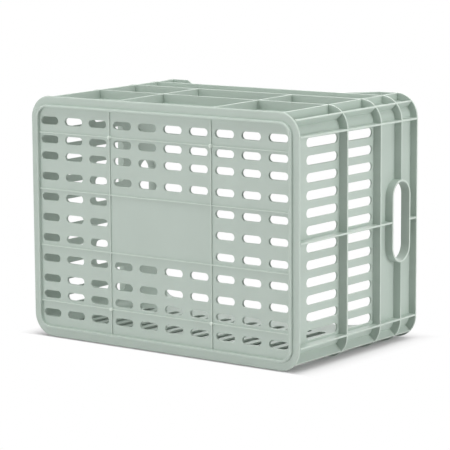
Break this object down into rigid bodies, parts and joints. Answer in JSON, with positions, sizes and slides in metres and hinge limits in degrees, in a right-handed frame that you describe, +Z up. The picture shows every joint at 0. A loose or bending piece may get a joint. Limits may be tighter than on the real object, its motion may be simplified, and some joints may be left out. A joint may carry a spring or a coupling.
{
  "type": "stackable storage crate",
  "caption": "Open plastic storage crate with slotted floor and walls, ribbed bands, collared hand holes in its ends and dipped long sides, lying on one long side.",
  "frame": {"origin": "bottom centre of the bounding box, on the surface the crate lies on", "axes": "+X along the crate's length, to the right in the picture; -Y out of the crate's floor, towards the viewer; +Y out of its mouth; +Z up from the long side it lies on"},
  "size_m": [0.4, 0.2548, 0.3],
  "materials": {
    "polypropylene": "satin"
  },
  "bodies": {
    "root": {"floor_plate": "polypropylene", "floor_ribs": "polypropylene", "foot_ring": "polypropylene", "base_flange": "polypropylene", "left_end_panel": "polypropylene", "right_end_panel": "polypropylene", "left_grip_panel": "polypropylene", "right_grip_panel": "polypropylene", "front_long_wall": "polypropylene", "rear_long_wall": "polypropylene", "front_left_ear": "polypropylene", "front_right_ear": "polypropylene", "rear_left_ear": "polypropylene", "rear_right_ear": "polypropylene", "front_left_corner": "polypropylene", "front_right_corner": "polypropylene", "rear_left_corner": "polypropylene", "rear_right_corner": "polypropylene", "lower_band": "polypropylene", "middle_band": "polypropylene", "upper_band": "polypropylene", "left_rim": "polypropylene", "right_rim": "polypropylene", "left_grip_collar": "polypropylene", "right_grip_collar": "polypropylene", "left_end_ribs": "polypropylene", "right_end_ribs": "polypropylene", "front_wall_ribs": "polypropylene", "rear_wall_ribs": "polypropylene", "front_left_corner_ribs": "polypropylene", "front_right_corner_ribs": "polypropylene", "rear_left_corner_ribs": "polypropylene", "rear_right_corner_ribs": "polypropylene"}
  },
  "joints": []
}
